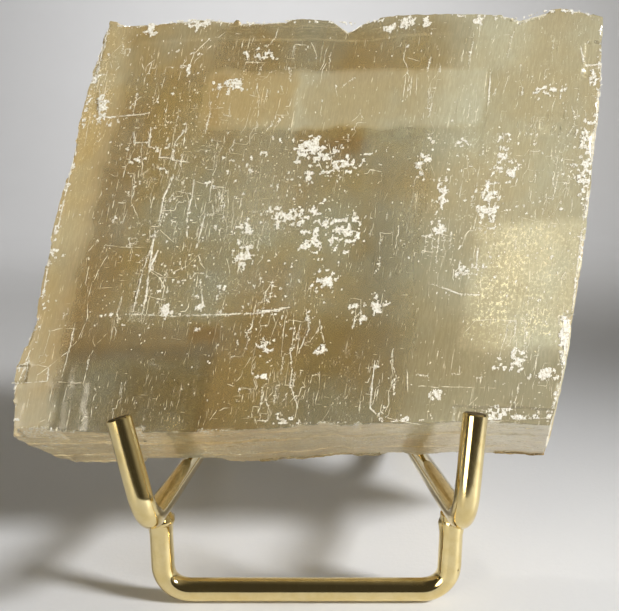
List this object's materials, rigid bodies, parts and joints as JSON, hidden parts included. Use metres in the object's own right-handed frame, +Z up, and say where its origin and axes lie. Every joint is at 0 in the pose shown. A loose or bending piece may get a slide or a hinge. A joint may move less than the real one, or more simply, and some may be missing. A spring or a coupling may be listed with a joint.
{
  "type": "raw calcite specimen on wire stand",
  "caption": "Rhombohedral cleavage slab of honey calcite standing on edge, leaning back in a polished brass-plated wire easel with upturned hooks.",
  "frame": {"origin": "on the table, under the middle of the whole object's box", "axes": "+X to the right as seen from the front, along the slab's lower edge; +Y to the back, the way the slab leans; +Z up"},
  "size_m": [0.1391, 0.1204, 0.1237],
  "materials": {
    "calcite": "translucent honey calcite, cleaved and scratched",
    "gold_rod": "polished"
  },
  "bodies": {
    "root": {"calcite_slab": "calcite", "front_foot": "gold_rod", "left_arm": "gold_rod", "right_arm": "gold_rod", "rear_bar": "gold_rod", "backrest": "gold_rod"}
  },
  "joints": []
}
